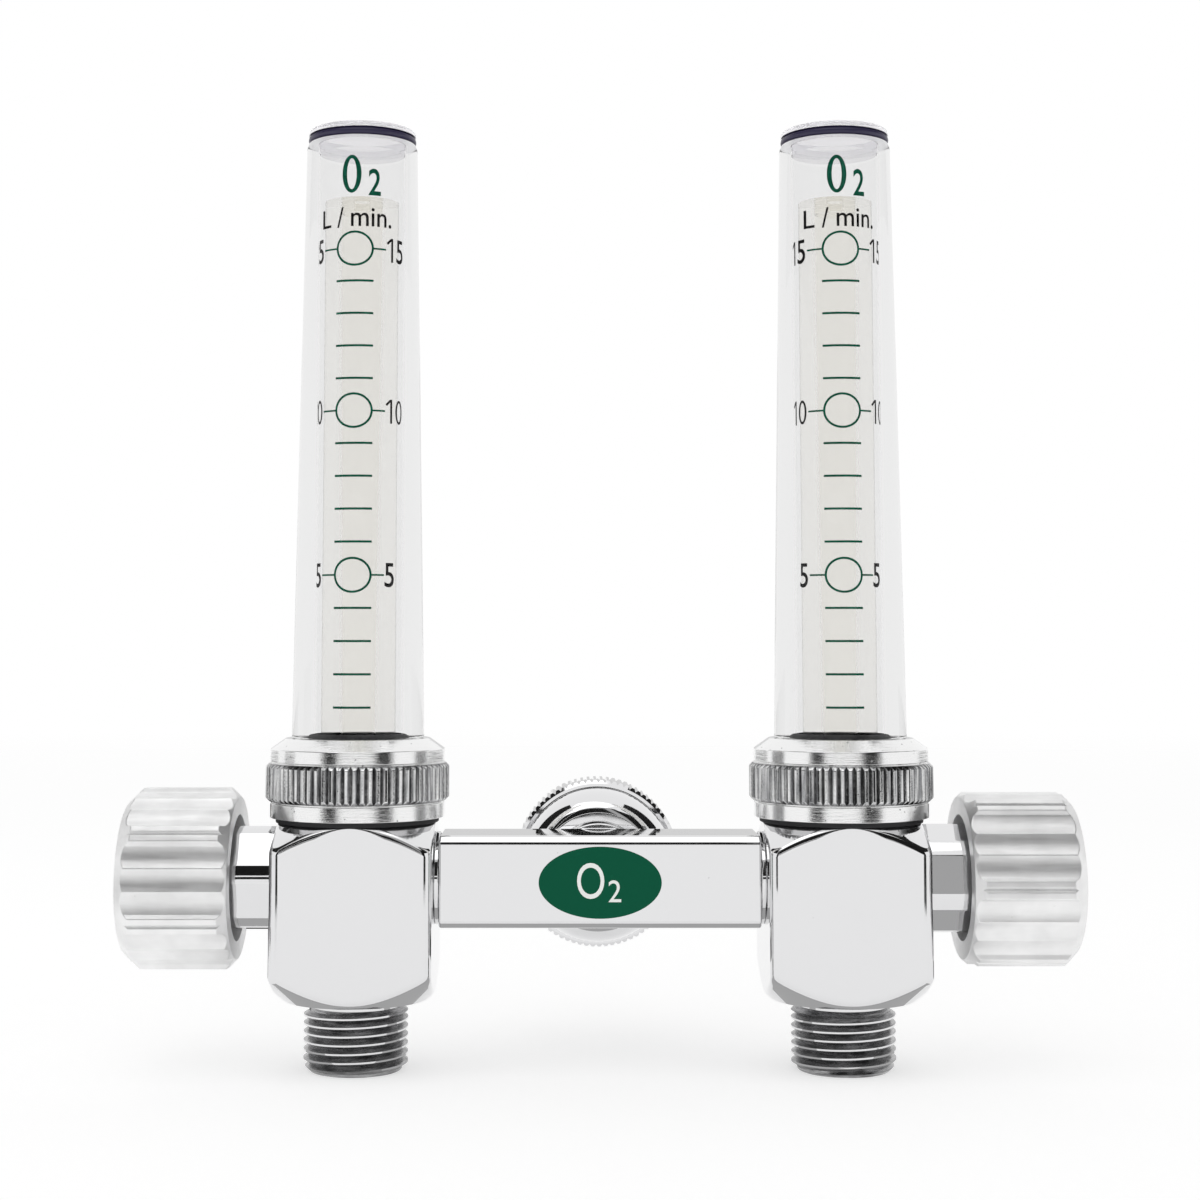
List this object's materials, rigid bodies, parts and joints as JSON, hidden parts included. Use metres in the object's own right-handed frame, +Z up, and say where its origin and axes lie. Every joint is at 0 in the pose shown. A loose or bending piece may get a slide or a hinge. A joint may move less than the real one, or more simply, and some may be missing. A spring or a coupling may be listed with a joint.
{
  "type": "twin oxygen flowmeter",
  "caption": "Wall-fed twin flowmeter: square valve blocks on a crossbar, clear tubes with a float ball, fluted knobs and threaded outlets, on a rear hand nut.",
  "frame": {"origin": "centre of the hand nut's mouth, on the inlet axis; the row's own frame, because the meter is made to be fixed to a gas outlet", "axes": "+Y along the inlet axis, back into the gas supply; +Z up along the tubes; +X to the right of someone who reads the scales"},
  "size_m": [0.1514, 0.0487, 0.1521],
  "materials": {
    "chrome": "polished chrome plate on brass",
    "turned_chrome": "turned and knurled, chrome plated",
    "aluminium": "satin turned aluminium",
    "brass": "turned brass",
    "bronze": "sintered bronze",
    "steel": "stainless steel",
    "ball": "polished stainless steel",
    "rubber": "matt black rubber",
    "cap_ring": "dark blue rubber",
    "clear_tube": "clear moulded plastic",
    "flow_tube": "clear moulded plastic",
    "scale_film": "clear printed film",
    "label": "green enamel label"
  },
  "bodies": {
    "manifold": {"crossbar": "chrome", "front_label": "label", "inlet_spacer": "chrome", "inlet_nipple": "brass", "inlet_washer": "rubber", "inlet_filter": "bronze", "left_valve_body": "chrome", "left_body_seal": "rubber", "left_tube_collar": "turned_chrome", "left_shroud_gasket": "rubber", "left_shroud": "clear_tube", "left_cap_ring": "cap_ring", "left_shroud_cap": "clear_tube", "left_scale_sleeve": "scale_film", "left_flow_tube": "flow_tube", "left_flow_tube_seal": "rubber", "left_ball_stop": "flow_tube", "left_bonnet_seal": "rubber", "left_bar_washer": "chrome", "left_bonnet": "chrome", "right_valve_body": "chrome", "right_body_seal": "rubber", "right_tube_collar": "turned_chrome", "right_shroud_gasket": "rubber", "right_shroud": "clear_tube", "right_cap_ring": "cap_ring", "right_shroud_cap": "clear_tube", "right_scale_sleeve": "scale_film", "right_flow_tube": "flow_tube", "right_flow_tube_seal": "rubber", "right_ball_stop": "flow_tube", "right_bonnet_seal": "rubber", "right_bar_washer": "chrome", "right_bonnet": "chrome"},
    "inlet_hand_nut": {"inlet_nut": "chrome"},
    "left_stem_ring": {"left_stem_oring": "rubber"},
    "left_valve": {"left_spindle": "brass", "left_knob": "aluminium", "left_knob_screw": "steel"},
    "left_float": {"left_float_ball": "ball"},
    "right_stem_ring": {"right_stem_oring": "rubber"},
    "right_valve": {"right_spindle": "brass", "right_knob": "aluminium", "right_knob_screw": "steel"},
    "right_float": {"right_float_ball": "ball"}
  },
  "joints": [
    {"name": "inlet_nut_turn", "type": "hinge", "parent": "manifold", "child": "inlet_hand_nut", "pos_m": [0, 0, 0], "axis": [0, 1, 0], "continuous": true},
    {"name": "left_valve_lift", "type": "slide", "parent": "manifold", "child": "left_stem_ring", "axis": [-1, 0, 0], "range_m": [0, 0.0015]},
    {"name": "left_knob_turn", "type": "hinge", "parent": "left_stem_ring", "child": "left_valve", "pos_m": [-0.039, -0.034, 0], "axis": [-1, 0, 0], "range_deg": [0, 720]},
    {"name": "left_float_rise", "type": "slide", "parent": "manifold", "child": "left_float", "axis": [0, 0, 1], "range_m": [0, 0.089]},
    {"name": "right_valve_lift", "type": "slide", "parent": "manifold", "child": "right_stem_ring", "axis": [1, 0, 0], "range_m": [0, 0.0015]},
    {"name": "right_knob_turn", "type": "hinge", "parent": "right_stem_ring", "child": "right_valve", "pos_m": [0.039, -0.034, 0], "axis": [1, 0, 0], "range_deg": [0, 720]},
    {"name": "right_float_rise", "type": "slide", "parent": "manifold", "child": "right_float", "axis": [0, 0, 1], "range_m": [0, 0.089]}
  ],
  "couplings": [
    {"joint": "left_valve_lift", "follows": "left_knob_turn", "m_per_rad": 0.00011937},
    {"joint": "right_valve_lift", "follows": "right_knob_turn", "m_per_rad": 0.00011937}
  ]
}
